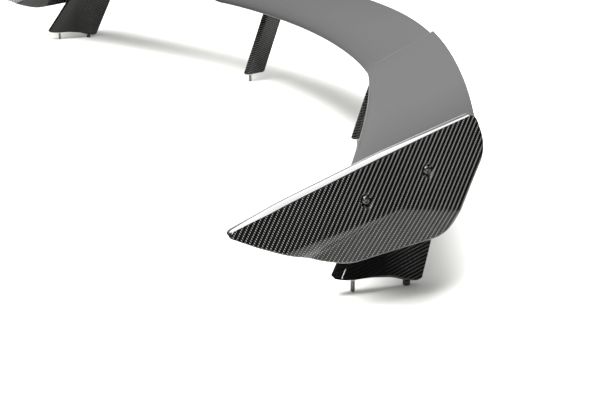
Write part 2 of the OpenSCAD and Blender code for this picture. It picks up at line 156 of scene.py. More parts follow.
def mid_height(x, t):
    ends = droop(x, END_DROP, DROP_FROM, DROP_RUN)
    nose = NOSE_Z - NOSE_FALL * ramp(np.abs(x) - CREASE_X, FALL_SOFT) - ends
    rear = REAR_Z - droop(x, TIP_FALL, FALL_FROM, FALL_RUN) - ends
    step = mix(STEP_NOSE, STEP_TAIL, t) * smooth((np.abs(x) - CREASE_X + CREASE_LEAN * t) / STEP_W + 0.5)
    return mix(nose, rear, t) - chord_at(x) * CAMBER_RATIO * 4 * t * (1 - t) + step


def half_thick(x, t):
    shape = 0.2969 * np.sqrt(t) - 0.126 * t - 0.3516 * t ** 2 + 0.2843 * t ** 3 - 0.1036 * t ** 4
    return chord_at(x) * 5 * THICK_RATIO * shape + TAIL_HALF * t


def skin_height(x, t, side, inset):
    return mid_height(x, t) + side * np.maximum(0, half_thick(x, t) - inset)


def crease_z(y):
    return PLATE_Z + CREASE_RISE * (y - PLATE_Y)


def plate_face(y, z):
    """Distance of the endplate's outer face from the middle plane."""
    q = y - PLATE_Y
    low = PLATE_Z - RAMP_LOW * q
    high = PLATE_Z - RAMP_HIGH * q
    ahead = smooth((z - low) / np.maximum(high - low, 0.0005))
    rise = np.where(q <= 0, np.where(z > crease_z(y), 1.0, 0.0), ahead)
    return PLATE_X + TOE_OUT * q - mix(LEAN_DOWN, LEAN_UP, rise) * (z - crease_z(y))


# ---- mesh helpers ------------------------------------------------------------------------------
def finish_mesh(name, bm, material, smooth_angle=32, more=()):
    """Makes an object of a bmesh, with outward faces, smooth except at sharp edges."""
    bmesh.ops.recalc_face_normals(bm, faces=bm.faces)
    mesh = bpy.data.meshes.new(name)
    bm.to_mesh(mesh)
    bm.free()
    mesh.polygons.foreach_set("use_smooth", [True] * len(mesh.polygons))
    mesh.set_sharp_from_angle(angle=math.radians(smooth_angle))
    for each in (material, *more):
        mesh.materials.append(each)
    piece = bpy.data.objects.new(name, mesh)
    bpy.context.scene.collection.objects.link(piece)
    return piece


def ring_mesh(rings, wrap=False, ends="pairs"):
    """A bmesh of quads between rings. An end is closed by strips across it ('pairs') or one face ('face')."""
    bm = bmesh.new()
    verts = [[bm.verts.new(p) for p in ring] for ring in rings]
    count = len(verts[0])
    spans = list(zip(verts, verts[1:]))
    if wrap:
        spans.append((verts[-1], verts[0]))
    for low, high in spans:
        for j in range(count):
            k = (j + 1) % count
            bm.faces.new((low[j], low[k], high[k], high[j]))
    if not wrap and ends == "pairs":
        for ring in (verts[0], verts[-1]):
            for j in range(math.ceil(count / 2) - 1):
                pair = [ring[j], ring[j + 1], ring[count - j - 1], ring[(count - j) % count]]
                bm.faces.new(list(dict.fromkeys(pair)))
    if not wrap and ends == "face":
        bm.faces.new(verts[0])
        bm.faces.new(verts[-1])
    return bm


def add_part(bm, part):
    """Adds a bmesh to another as a separate solid."""
    joined = bpy.data.meshes.new("part")
    part.to_mesh(joined)
    part.free()
    bm.from_mesh(joined)
    bpy.data.meshes.remove(joined)


def mirrored(piece, name):
    """A copy of a left piece on the right side."""
    mesh = piece.data.copy()
    mesh.name = name
    mesh.transform(((-1, 0, 0, 0), (0, 1, 0, 0), (0, 0, 1, 0), (0, 0, 0, 1)))
    mesh.flip_normals()
    copy = bpy.data.objects.new(name, mesh)
    bpy.context.scene.collection.objects.link(copy)
    return copy


def place(piece, slot, *nodes):
    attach(piece, "root")
    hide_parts(*nodes)


def place_pair(piece, slot, node):
    """Places a left piece for left_NODE and its mirror image for right_NODE."""
    place(piece, slot, "left_" + node)
    place(mirrored(piece, "right_" + piece.name.removeprefix("left_")), slot, "right_" + node)


def lathe(profile, centre, turns=64):
    """Rings of points around a vertical axis, from (radius, height) pairs."""
    angles = np.arange(turns) * 2 * math.pi / turns
    return [[(centre[0] + r * math.cos(a), centre[1] + r * math.sin(a), z) for a in angles]
            for r, z in profile]


# ---- materials ---------------------------------------------------------------------------------
class Nodes:
    """A short way to build a material's node tree."""

    def __init__(self, name):
        self.material = bpy.data.materials.new(name)
        self.material.use_nodes = True
        self.tree = self.material.node_tree
        self.shader = self.tree.nodes["Principled BSDF"]

    def add(self, kind, **settings):
        node = self.tree.nodes.new(kind)
        for key, value in settings.items():
            setattr(node, key, value)
        return node

    def link(self, value, socket):
        if isinstance(value, bpy.types.NodeSocket):
            self.tree.links.new(value, socket)
        else:
            socket.default_value = value

    def math(self, operation, a, b=0.0, c=0.0):
        node = self.add("ShaderNodeMath", operation=operation)
        for value, socket in zip((a, b, c), node.inputs):
            self.link(value, socket)
        return node.outputs[0]

    def colour_mix(self, factor, a, b):
        node = self.add("ShaderNodeMix", data_type="RGBA")
        self.link(factor, node.inputs["Factor"])
        self.link(a, node.inputs["A"])
        self.link(b, node.inputs["B"])
        return node.outputs["Result"]

    def value_mix(self, factor, a, b):
        node = self.add("ShaderNodeMix", data_type="FLOAT")
        self.link(factor, node.inputs["Factor"])
        self.link(a, node.inputs["A"])
        self.link(b, node.inputs["B"])
        return node.outputs["Result"]

    def noise(self, vector, scale, detail=2.0):
        node = self.add("ShaderNodeTexNoise")
        self.link(vector, node.inputs["Vector"])
        self.link(scale, node.inputs["Scale"])
        self.link(detail, node.inputs["Detail"])
        return node.outputs["Fac"]

    def place(self):
        return self.add("ShaderNodeTexCoord").outputs["Object"]

    def axes(self, vector):
        node = self.add("ShaderNodeSeparateXYZ")
        self.link(vector, node.inputs[0])
        return node.outputs

    def vector(self, x, y, z=0.0):
        node = self.add("ShaderNodeCombineXYZ")
        for value, socket in zip((x, y, z), node.inputs):
            self.link(value, socket)
        return node.outputs[0]

    def bump(self, height, distance, strength=1.0):
        node = self.add("ShaderNodeBump")
        self.link(height, node.inputs["Height"])
        self.link(distance, node.inputs["Distance"])
        self.link(strength, node.inputs["Strength"])
        return node.outputs[0]

    def set(self, **values):
        for name, value in values.items():
            self.link(value, self.shader.inputs[name.replace("_", " ").title().replace("Ior", "IOR")])


def grey(level):
    return (level, level, level * 0.97, 1.0)


def twill(nodes, across, along, tow):
    """The 2x2 twill pattern at two surface coordinates: which tow is on top, its shape and its fibres."""
    u = nodes.math("DIVIDE", across, tow)
    v = nodes.math("DIVIDE", along, tow)
    cell = nodes.math("ADD", nodes.math("FLOOR", u), nodes.math("FLOOR", v))
    phase = nodes.math("FLOORED_MODULO", cell, 4.0)
    warp = nodes.math("LESS_THAN", phase, 1.5)
    fu = nodes.math("FRACT", u)
    fv = nodes.math("FRACT", v)
    # Distance along the two cells that a tow floats over, and from the middle of its width
    warp_run = nodes.math("ADD", phase, fv)
    weft_run = nodes.math("ADD", nodes.math("SUBTRACT", phase, 2.0), fu)
    run = nodes.value_mix(warp, weft_run, warp_run)
    width = nodes.math("SUBTRACT", nodes.value_mix(warp, fv, fu), 0.5)
    crimp = nodes.math("SINE", nodes.math("MULTIPLY", run, math.pi / 2))
    crown = nodes.math("SUBTRACT", 1.0, nodes.math("MULTIPLY", nodes.math("MULTIPLY", width, width), 4.6))
    swell = nodes.math("MULTIPLY", nodes.math("MAXIMUM", crimp, 0.0), nodes.math("MAXIMUM", crown, 0.0))
    # The crown of a float peaks across the twill line, so neighbours read as separate beads, in the bump and
    # in the painted glint
    skew = nodes.math("MULTIPLY", nodes.math("SUBTRACT", width, nodes.math("SUBTRACT", run, 1.0)), math.pi)
    bead = nodes.math("MULTIPLY_ADD", nodes.math("COSINE", skew), 0.5, 0.5)
    shape = nodes.math("MULTIPLY", nodes.math("POWER", swell, 1.5), nodes.math("POWER", bead, 2.0))
    # Fibres are fine across their tow and long along it
    strands = [nodes.noise(nodes.vector(nodes.math("MULTIPLY", u, du), nodes.math("MULTIPLY", v, dv)), 1.0)
               for du, dv in ((9.0, 0.8), (0.8, 9.0))]
    fibres = nodes.value_mix(warp, strands[1], strands[0])
    return warp, shape, fibres


def turned(nodes, a, b, degrees):
    """Two surface coordinates turned by an angle."""
    c, s = math.cos(math.radians(degrees)), math.sin(math.radians(degrees))
    along = nodes.math("ADD", nodes.math("MULTIPLY", a, c), nodes.math("MULTIPLY", b, s))
    up = nodes.math("SUBTRACT", nodes.math("MULTIPLY", b, c), nodes.math("MULTIPLY", a, s))
    return along, up


def carbon(name, a_axis, b_axis, angle=0.0, tow=0.00147, dark=0.0010, glint=0.30, dim=0.003, sheen=0.04,
           coat_ior=1.32, nose=None):
    """Clear-coated 2x2 twill carbon; the weave lies in the plane of two model axes, and its warp tows carry a
    painted glint.

    Ahead of a nose position the colour darkens to near black.
    """
    nodes = Nodes(name)
    place_axes = nodes.axes(nodes.place())
    a, b = turned(nodes, place_axes[a_axis], place_axes[b_axis], angle)
    warp, shape, fibres = twill(nodes, a, b, tow)
    # Painted glint: the crowns of the floats get a lighter base colour, the warp tows most, in place of the
    # fibres' reflection of the lamps
    shine = nodes.math("MULTIPLY", shape, nodes.math("ADD", nodes.math("MULTIPLY", fibres, 0.9), 0.55))
    bright = nodes.colour_mix(shine, grey(dark), grey(glint))
    faint = nodes.colour_mix(shine, grey(dark), grey(dim))
    cloth = nodes.noise(nodes.place(), 18.0)
    tone = nodes.math("ADD", nodes.math("MULTIPLY", cloth, 0.5), 0.75)
    if nose is not None:
        # Darker towards the nose: the colour fades to near black ahead of the nose position
        nose_fade = nodes.math("DIVIDE", nodes.math("SUBTRACT", nose, place_axes[1]), 0.03)
        tone = nodes.math("MULTIPLY", tone, nodes.math("MINIMUM", nodes.math("MAXIMUM", nose_fade, 0.05), 1.0))
    colour = nodes.colour_mix(warp, faint, bright)
    scaled = nodes.add("ShaderNodeVectorMath", operation="SCALE")
    nodes.link(colour, scaled.inputs[0])
    nodes.link(tone, scaled.inputs["Scale"])
    nodes.set(base_color=scaled.outputs[0], roughness=nodes.value_mix(shape, 0.57, 0.42),
              normal=nodes.bump(shape, 0.00004), specular_ior_level=sheen,
              coat_weight=1.0, coat_roughness=0.03, coat_ior=coat_ior)
    # A hint of flow in the clear coat, far larger than the weave
    flow = nodes.bump(nodes.noise(nodes.place(), 60.0, 1.0), 0.00003, 0.6)
    nodes.link(flow, nodes.shader.inputs["Coat Normal"])
    return nodes.material


def satin_carbon(name):
    """The wing's satin surface, with the weave just showing through and a painted glint on its warp tows."""
    nodes = Nodes(name)
    place_axes = nodes.axes(nodes.place())
    warp, shape, fibres = twill(nodes, place_axes[0], place_axes[1], 0.0015)
    mottle = nodes.noise(nodes.place(), 9.0, 3.0)
    # Painted glint: the float crowns and the warp tows are lighter, in place of the fibres' reflection; the
    # mottle is random tone
    tone = nodes.math("ADD", nodes.math("MULTIPLY", shape, 0.35), nodes.math("MULTIPLY", mottle, 0.5))
    weave = nodes.colour_mix(tone, grey(0.001), grey(0.012))
    colour = nodes.colour_mix(nodes.math("MULTIPLY", warp, 0.45), weave, grey(0.022))
    rough = nodes.math("ADD", 0.34, nodes.math("MULTIPLY", fibres, 0.12))
    nodes.set(base_color=colour, roughness=rough, normal=nodes.bump(shape, 0.00003, 0.6),
              specular_ior_level=0.12, coat_weight=0.55, coat_roughness=0.16, coat_ior=1.5)
    return nodes.material


def metal(name, level, roughness, scale=(300.0, 300.0, 3000.0), tint=(1.0, 1.0, 1.0)):
    """Machined or drawn metal with fine streaks and a little tarnish."""
    nodes = Nodes(name)
    mapping = nodes.add("ShaderNodeMapping")
    nodes.link(nodes.place(), mapping.inputs["Vector"])
    mapping.inputs["Scale"].default_value = scale
    streaks = nodes.noise(mapping.outputs[0], 1.0, 3.0)
    stain = nodes.noise(nodes.place(), 90.0, 3.0)
    light = tuple(level * t for t in tint) + (1.0,)
    deep = tuple(level * t * 0.6 for t in tint) + (1.0,)
    nodes.set(base_color=nodes.colour_mix(stain, deep, light), metallic=1.0,
              roughness=nodes.math("ADD", roughness - 0.08, nodes.math("MULTIPLY", streaks, 0.2)),
              normal=nodes.bump(streaks, 0.00001, 0.5))
    return nodes.material


def moulded(name, level, roughness, grain=1200.0, relief=0.00002, coat_ior=None):
    """Moulded plastic, foam or resin with a fine grain, and a clear coat if it has an index."""
    nodes = Nodes(name)
    fine = nodes.noise(nodes.place(), grain, 3.0)
    wide = nodes.noise(nodes.place(), 120.0, 2.0)
    darker = tuple(c * 0.72 for c in level) + (1.0,)
    nodes.set(base_color=nodes.colour_mix(wide, darker, tuple(level) + (1.0,)),
              roughness=nodes.math("ADD", roughness, nodes.math("MULTIPLY", fine, 0.15)),
              normal=nodes.bump(fine, relief))
    if coat_ior:
        nodes.set(coat_weight=1.0, coat_roughness=0.04, coat_ior=coat_ior, specular_ior_level=0.1)
    return nodes.material


plate_carbon = carbon("endplate_carbon", 1, 2, angle=-8.0)
edge_carbon = moulded("edge_resin", (0.006, 0.006, 0.007), 0.30, 600.0, 0.000004, coat_ior=1.6)
seam_resin = moulded("seam_resin", (0.006, 0.006, 0.006), 0.75)
strut_carbon = carbon("strut_carbon", 1, 2, angle=27.0, tow=0.0012, glint=0.22, sheen=0.05, nose=0.070)
wing_carbon = satin_carbon("wing_carbon")
foam = moulded("foam", (0.78, 0.70, 0.47), 0.85, 2200.0, 0.0002)
aluminium = metal("aluminium", 0.72, 0.32)
steel = metal("steel", 0.38, 0.28, (900.0, 900.0, 900.0))
black_steel = metal("black_steel", 0.10, 0.22, (900.0, 900.0, 900.0))
brass = metal("brass", 0.70, 0.30, tint=(1.0, 0.80, 0.42))
nylon = moulded("washer_nylon", (0.74, 0.73, 0.69), 0.45)
black_plastic = moulded("peg_plastic", (0.012, 0.012, 0.012), 0.35)


# ---- wing --------------------------------------------------------------------------------------
END_GUESS = 0.852
MID_SHARE = 0.4
BAND = 0.02


def crease_at(t):
    return CREASE_X - CREASE_LEAN * t


def end_x(t, side, inset):
    """Where a skin's line at chord share t meets the endplate's inner face."""
    x = np.full_like(t, END_GUESS)
    for _ in range(6):
        x = plate_face(mix(nose_y(x), rear_y(x), t), skin_height(x, t, side, inset)) - PLATE_T
    return x


def wing_line(s, t, side, inset, tip):
    """Points across the chord at span share s, from -1 to 1; tip holds the ends' x for each t."""
    u = abs(s)
    if u < MID_SHARE:
        x = crease_at(t) * u / MID_SHARE
    else:
        x = mix(crease_at(t), tip, (u - MID_SHARE) / (1 - MID_SHARE))
    x = math.copysign(1, s) * x
    return np.stack([x, mix(nose_y(x), rear_y(x), t), skin_height(x, t, side, inset)], axis=1)


def wing_skin(name, side):
    """One skin of the wing: its outer surface, the rounded trailing edge and the inner surface."""
    steps = 56
    outer_t = 1 - np.cos(np.pi / 2 * np.linspace(0, 1, steps + 1) ** 1.15)
    inner_t = outer_t[1::4][::-1]
    lip = 0.0006
    outer_tip = end_x(outer_t, side, 0.0)
    inner_tip = end_x(inner_t, side, SKIN_T)
    half = np.concatenate([np.linspace(0, MID_SHARE - BAND, 60)[:-1],
                           np.linspace(MID_SHARE - BAND, MID_SHARE + BAND, 15)[:-1],
                           np.linspace(MID_SHARE + BAND, 1, 70)])
    stations = np.concatenate([-half[:0:-1], half])
    rings = []
    for s in stations:
        outer = wing_line(s, outer_t, side, 0.0, outer_tip)
        inner = wing_line(s, inner_t, side, SKIN_T, inner_tip)
        # The trailing edge is rounded between the last outer point and a point at half its height
        edge = outer[-1] + np.array([0, 0, -side * lip])
        edge[1] -= lip * 0.5
        outer[-1, 1] += lip * 0.6
        rings.append(np.concatenate([outer, [edge], inner]))
    bm = ring_mesh(rings, ends="face")
    return finish_mesh(name, bm, wing_carbon, 40)


def build_wing():
    place(wing_skin("upper_skin", 1), "wing_carbon", "wing_upper_skin")
    place(wing_skin("lower_skin", -1), "wing_carbon", "wing_lower_skin")


# ---- endplates ---------------------------------------------------------------------------------
def unit(v):
    return v / np.linalg.norm(v)


def outline(corners, spacing=0.0016):
    """The outline's points, evenly spaced along its straight runs and its arcs."""
    points = []
    flats = [np.array(c[:2]) for c in corners]
    for i, (y, z, r) in enumerate(corners):
        before, here, after = flats[i - 1], flats[i], flats[(i + 1) % len(flats)]
        u, w = unit(before - here), unit(after - here)
        half = math.acos(u @ w) / 2
        centre = here + unit(u + w) * r / math.sin(half)
        start = here + u * r / math.tan(half) - centre
        end = here + w * r / math.tan(half) - centre
        count = max(6, int(r * (math.pi - 2 * half) / spacing))
        points += [centre + unit(mix(start, end, k / count)) * r for k in range(count + 1)]
    dense = []
    for a, b in zip(points, points[1:] + points[:1]):
        count = max(1, round(np.linalg.norm(b - a) / spacing))
        dense += [mix(a, b, k / count) for k in range(count)]
    return np.array(dense)


def backbone(points):
    d = SPINE_B - SPINE_A
    s = np.clip((points - SPINE_A) @ d / (d @ d), 0, 1)
    return SPINE_A + s[:, None] * d


def plate_ring(edge, inset, share, depth):
    """The outline moved inward by inset, then by a share of the way to the backbone, as (depth, y, z).

    The inset and the depth are pairs: a fixed part, and a part counted in widths of the rim.
    """
    away = backbone(edge) - edge
    width = mix(RIM_REAR, RIM_FRONT, smooth(edge[:, 0] / RIM_RUN) * smooth(0.5 - away[:, 1] / 0.010))
    moved = edge + away / np.linalg.norm(away, axis=1)[:, None] * (inset[0] + inset[1] * width)[:, None]
    moved = mix(moved, backbone(moved), share)
    return np.column_stack([depth[0] + depth[1] * width, moved])


def cut_lines(bm, lines, keep):
    """Adds edges along straight lines of the (y, z) plane, in the faces whose centre passes keep."""
    for (y, z), slope in lines:
        faces = [f for f in bm.faces if keep(f.calc_center_median())]
        geometry = faces + list({e for f in faces for e in f.edges})
        geometry += list({v for f in faces for v in f.verts})
        bmesh.ops.bisect_plane(bm, geom=geometry, plane_co=(0, y, z), plane_no=(0, -slope, 1), dist=1e-6)


def plate_shell(rings, kinds=()):
    """A closed part of the left endplate from (inset, share, depth) rings, bent onto the plate's surface.

    Each kind is (first ring, last ring, material index) of a run of bands between the rings.
    """
    edge = outline(PLATE_CORNERS)
    bm = ring_mesh([plate_ring(edge, *r) for r in rings], ends="face")
    bm.faces.ensure_lookup_table()
    for first, last, index in kinds:
        for face in bm.faces[first * len(edge):last * len(edge)]:
            face.material_index = index
    apex = (PLATE_Y, PLATE_Z)
    cut_lines(bm, [(apex, CREASE_RISE)], lambda c: c.y < PLATE_Y + 0.001)
    slopes = [-mix(RAMP_LOW, RAMP_HIGH, k / 6) for k in range(7)]
    cut_lines(bm, [(apex, s) for s in slopes], lambda c: c.y > PLATE_Y - 0.001)
    for v in bm.verts:
        v.co.x -= plate_face(np.float64(v.co.y), np.float64(v.co.z))
    return bm


def subtract(piece, cutters):
    """Cuts closed shapes out of a piece, then removes them."""
    for cutter in cutters:
        step = piece.modifiers.new("cut", "BOOLEAN")
        step.operation = "DIFFERENCE"
        step.solver = "EXACT"
        step.object = cutter
    bpy.context.view_layer.update()
    done = bpy.data.meshes.new_from_object(piece.evaluated_get(bpy.context.evaluated_depsgraph_get()))
    piece.modifiers.clear()
    piece.data = done
    for cutter in cutters:
        bpy.data.objects.remove(cutter)


SCREW_YS = (0.115, 0.0425)
SPOT_R = 0.0058
SPOT_DEPTH = 0.003
HOLE_R = 0.00275
FLARE = 0.0034
BUSH_R = 0.0095
ROUND_STEPS = 72


def screw_place(y):
    """(seat x, y, z) of a screw on the left side."""
    x = END_GUESS
    t = (nose_y(x) - y) / chord_at(x)
    z = float(mid_height(x, t))
    return -float(plate_face(np.float64(y), np.float64(z))) + SPOT_DEPTH, y, z


def dimple_cutter(y):
    """A spot face whose mouth flares out along the plate's leaning face."""
    seat, y0, z0 = screw_place(y)
    angles = np.arange(ROUND_STEPS) * 2 * math.pi / ROUND_STEPS

    def on_face(radius, depth):
        ys, zs = y0 + radius * np.cos(angles), z0 + radius * np.sin(angles)
        return np.column_stack([depth - plate_face(ys, zs), ys, zs])

    def flat(radius, x):
        ys, zs = y0 + radius * np.cos(angles), z0 + radius * np.sin(angles)
        return np.column_stack([np.full(ROUND_STEPS, x), ys, zs])

    bends = [(SPOT_R + FLARE * (1 - math.sin(a)), FLARE * 0.8 * (1 - math.cos(a)))
             for a in np.linspace(0, math.pi / 2, 7)]
    rings = [on_face(SPOT_R + FLARE + 0.0003, -0.004), on_face(SPOT_R + FLARE + 0.0003, -0.0001)]
    rings += [on_face(r, d) for r, d in bends]
    wall = on_face(SPOT_R, FLARE * 0.8)
    floor = flat(SPOT_R, seat)
    floor[:, 0] = np.maximum(seat, wall[:, 0] + 0.0001)
    fillet = flat(SPOT_R - 0.0006, 0)
    fillet[:, 0] = floor[:, 0] + 0.0003
    rings += [floor, fillet, flat(HOLE_R, seat + 0.0003), flat(HOLE_R, seat + 0.02)]
    bm = ring_mesh(rings, ends="face")
    return finish_mesh("cutter", bm, plate_carbon)


def bush_mesh(y, low, high):
    """A laminate bush between two depths of the plate, around a screw."""
    _, y0, z0 = screw_place(y)
    angles = np.arange(ROUND_STEPS) * 2 * math.pi / ROUND_STEPS
    rings = []
    for radius, depth in ((0.001, low), (BUSH_R, low), (BUSH_R, high), (0.001, high)):
        ys, zs = y0 + radius * np.cos(angles), z0 + radius * np.sin(angles)
        rings.append(np.column_stack([depth - plate_face(ys, zs), ys, zs]))
    return ring_mesh(rings, ends="face")


def build_endplates():
    shares = [k / 44 for k in range(44)]
    flat = shares[:0:-1]
    coarse = (0.97, 0.9, 0.7, 0.5, 0.3, 0.1)
    none, rim = (0, 0), (0, 1)
    # The joint between the two shells: its start in the front one, its end in the back one, its depth
    seam_a, seam_b, seam_d = 0.0014, 0.0009, 0.0010

    face = [(rim, s, none) for s in flat]
    curve = [((0, 1 - abs(math.cos(a)) ** RIM_POWER), 0, (0, 1 - math.sin(a) ** RIM_POWER))
             for a in np.linspace(math.pi / 2, 0, 12)]
    seam = [(none, 0, (FRONT_T - seam_a, 0)), ((0.0003, 0), 0, (FRONT_T - seam_a + 0.0002, 0)),
            ((seam_d, 0), 0, (FRONT_T - seam_a + 0.0003, 0)), ((seam_d, 0), 0, (FRONT_T, 0))]
    inside = [((SKIN_T, 0), 0, (FRONT_T, 0)), ((SKIN_T, 0.3), 0, (SKIN_T, 0.3)),
              ((0.0006, 1), 0, (SKIN_T, 0))]
    inside += [((0.0006, 1), s, (SKIN_T, 0)) for s in coarse[::-1]]
    start, bend = len(face), len(face) + len(curve)
    shell = plate_shell(face + curve + seam + inside, [(start + 1, bend, 1), (bend, bend + len(seam), 2)])
    skin = finish_mesh("left_endplate_outer", shell, plate_carbon, 38, (edge_carbon, seam_resin))
    subtract(skin, [dimple_cutter(y) for y in SCREW_YS])
    place_pair(skin, "endplate_carbon", "endplate_skin")

    top, bottom = SKIN_T + 0.00005, FRONT_T - 0.00005
    core = [((0.0008, 1), s, (top, 0)) for s in flat]
    core += [((0.0008, 1), 0, (top, 0)), ((SKIN_T + 0.0002, 0.3), 0, (SKIN_T + 0.0002, 0.3)),
             ((SKIN_T + 0.0002, 0.3), 0, (bottom, 0))]
    core += [(rim, s, (bottom, 0)) for s in coarse[::-1]]
    filling = finish_mesh("left_endplate_foam", plate_shell(core), foam, 38)
    subtract(filling, [finish_mesh("cutter", bush_mesh(y, -0.002, PLATE_T), foam) for y in SCREW_YS])
    place_pair(filling, "foam", "endplate_core")

    bm = bmesh.new()
    for y in SCREW_YS:
        add_part(bm, bush_mesh(y, top, bottom))
    bushes = finish_mesh("left_endplate_rings", bm, plate_carbon, 38)
    subtract(bushes, [dimple_cutter(y) for y in SCREW_YS])
    place_pair(bushes, "endplate_carbon", "endplate_bushes")

    back = [(rim, s, (FRONT_T, 0)) for s in coarse]
    back += [((seam_d, 0), 0, (FRONT_T, 0)), ((seam_d, 0), 0, (FRONT_T + seam_b - 0.0001, 0)),
             ((0.0007, 0), 0, (FRONT_T + seam_b, 0)), ((0.0002, 0), 0, (FRONT_T + seam_b + 0.0002, 0)),
             (none, 0, (FRONT_T + seam_b + 0.0007, 0))]
    back += [((0.0006 * (1 - math.cos(a)), 0), 0, (PLATE_T - 0.0006 * (1 - math.sin(a)), 0))
             for a in np.linspace(0, math.pi / 2, 6)]
    back += [(rim, s, (PLATE_T, 0)) for s in shares[:-1]]
    start = len(coarse)
    shell = plate_shell(back, [(0, start + 2, 2), (start + 2, start + 11, 1)])
    plate = finish_mesh("left_endplate_inner", shell, plate_carbon, 38, (edge_carbon, seam_resin))
    subtract(plate, [dimple_cutter(y) for y in SCREW_YS])
    place_pair(plate, "endplate_carbon", "endplate_back")


# ---- struts ------------------------------------------------------------------------------------
def strut_half(t):
    nose = np.sqrt(np.maximum(0, 1 - (1 - t / 0.28) ** 2))
    return 0.5 * np.where(t < 0.28, nose, mix(1, 0.42, smooth((t - 0.28) / 0.72)))


def strut_points(kind, stud, t, side, z, inset):
    front_y = stud[1] + kind["stud_front"]
    front = front_y - kind["rake"] * (z - kind["foot_front"]) - inset
    back = front_y - kind["chord"] - kind["tail_rake"] * (z - kind["tail_from"]) + inset
    x = stud[0] + kind["lean"] * (z - kind["lean_from"])
    wide = np.maximum(0.0003, strut_half(t) * kind["thick"] - inset)
    return np.stack([x - side * wide, mix(front, back, t), z], axis=1)


def foot_height(kind, t):
    corner = np.maximum(np.maximum(0, 1 - t / 0.06), (t - 0.94) / 0.06)
    arch = smooth((t - 0.12) / 0.35) * (1 - smooth((t - 0.62) / 0.27))
    return mix(kind["foot_front"], kind["foot_rear"], t) + kind["arch"] * arch + FOOT_CORNER * corner ** 2


def under_wing(kind, stud, t, side, inset):
    z = np.full_like(t, NOSE_Z)
    for _ in range(9):
        p = strut_points(kind, stud, t, side, z, inset)
        share = np.clip((nose_y(p[:, 0]) - p[:, 1]) / chord_at(p[:, 0]), 0, 1)
        z = skin_height(p[:, 0], share, -1, 0.0)
    return z


def build_strut(name, kind, stud):
    """A hollow strut shell with a rounded lower rim and a small fillet where it meets the wing."""
    ts = 1 - np.cos(np.pi / 2 * np.linspace(0, 1, 45) ** 1.1)
    ts = np.concatenate([ts[ts < 0.93], [0.94, 0.955, 0.97, 0.985, 1.0]])
    t = np.concatenate([ts, ts[:0:-1]])
    side = np.where(np.arange(len(t)) < len(ts), 1, -1)

    def ring(share, inset, lift=0.0, drop=0.0):
        low = foot_height(kind, t)
        high = under_wing(kind, stud, t, side, inset) - 0.00005
        z = mix(low, high, share) + lift - drop
        return strut_points(kind, stud, t, side, z, inset)

    rim = 0.0007
    fillet = 0.0025
    bends = np.linspace(0, math.pi / 2, 6)
    outer = [ring(0, rim * (1 - math.sin(a)), rim * (1 - math.cos(a))) for a in bends]
    outer += [ring(s, 0.0) for s in np.linspace(0.03, 0.95, 14)]
    outer += [ring(1, -fillet * (1 - math.cos(a)), 0.0, fillet * (1 - math.sin(a))) for a in bends]
    inner = [ring(s, SHELL_T) for s in (1.0, 0.6, 0.3, 0.0)]
    bm = ring_mesh(outer + inner, wrap=True)
    return finish_mesh(name, bm, strut_carbon, 45)


def node_centre(node):
    low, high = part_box(node)
    return ((low.x + high.x) / 2, (low.y + high.y) / 2)


def build_struts():
    for where, kind in (("outer", OUTER_STRUT), ("inner", INNER_STRUT)):
        stud = node_centre(f"left_{where}_stud")
        strut = build_strut(f"left_{where}_strut_shell", kind, stud)
        place_pair(strut, "strut_carbon", f"{where}_strut")


# ---- fasteners ---------------------------------------------------------------------------------
THREAD_R = 0.0025
PITCH = 0.0008
THREAD_DEPTH = 0.00045


def threaded(centre, low, high, shank_top, shank_r):
    """A stud with a real helical thread below its bonded shank."""
    turns = 48
    heights = np.arange(low, high, PITCH / 10)
    angles = np.arange(turns) * 2 * math.pi / turns
    rings = []
    for z in heights:
        phase = ((z - low) / PITCH - angles / (2 * math.pi)) % 1
        ridge = 1 - np.abs(2 * phase - 1)
        ends = min(1.0, (z - low) / 0.0008, (high - z) / 0.0006)
        r = THREAD_R - THREAD_DEPTH * (1 - ridge * max(ends, 0.0))
        r = r - 0.0004 * max(0.0, 1 - (z - low) / 0.0005)
        rings.append(np.column_stack([centre[0] + r * np.cos(angles), centre[1] + r * np.sin(angles),
                                      np.full(turns, z)]))
    neck = [(THREAD_R - THREAD_DEPTH, high), (shank_r - 0.0002, high), (shank_r, high + 0.0002),
            (shank_r, shank_top)]
    return ring_mesh(rings + lathe(neck, centre, turns), ends="face")


def build_fasteners():
    for where in ("outer", "inner"):
        stud_node, washer_node = f"{where}_stud", f"{where}_washer"
        centre = node_centre("left_" + stud_node)
        low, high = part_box("left_" + stud_node)
        wlow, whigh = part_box("left_" + washer_node)
        shank_r = (high.x - low.x) / 2
        bm = threaded(centre, low.z, wlow.z, high.z, shank_r)
        place_pair(finish_mesh(f"left_{where}_threaded_stud", bm, steel, 50), "steel", stud_node)

        r = (whigh.x - wlow.x) / 2
        e = 0.00035
        profile = [(shank_r, wlow.z + e), (shank_r + e, wlow.z), (r - e, wlow.z), (r, wlow.z + e),
                   (r, whigh.z - e), (r - e, whigh.z), (shank_r, whigh.z)]
        bm = ring_mesh(lathe(profile, centre), wrap=True)
        place_pair(finish_mesh(f"left_{where}_round_washer", bm, nylon, 50), "washer", washer_node)

    centre = node_centre("left_locating_peg")
    low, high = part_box("left_locating_peg")
    r = (high.x - low.x) / 2
    head, stem = 0.0052, 0.0012
    profile = [(r - 0.0009, low.z), (r - 0.0004, low.z + 0.00015), (r - 0.0001, low.z + 0.0005),
               (r, low.z + 0.001), (r, head - 0.0003), (r - 0.0003, head), (stem, head), (stem, high.z)]
    bm = ring_mesh(lathe(profile, centre), ends="face")
    place_pair(finish_mesh("left_moulded_peg", bm, black_plastic, 50), "peg", "locating_peg")


def hexagon(radius, angles):
    """Radius of a hexagon with that corner radius, at each angle."""
    return radius * math.cos(math.pi / 6) / np.cos((angles % (math.pi / 3)) - math.pi / 6)


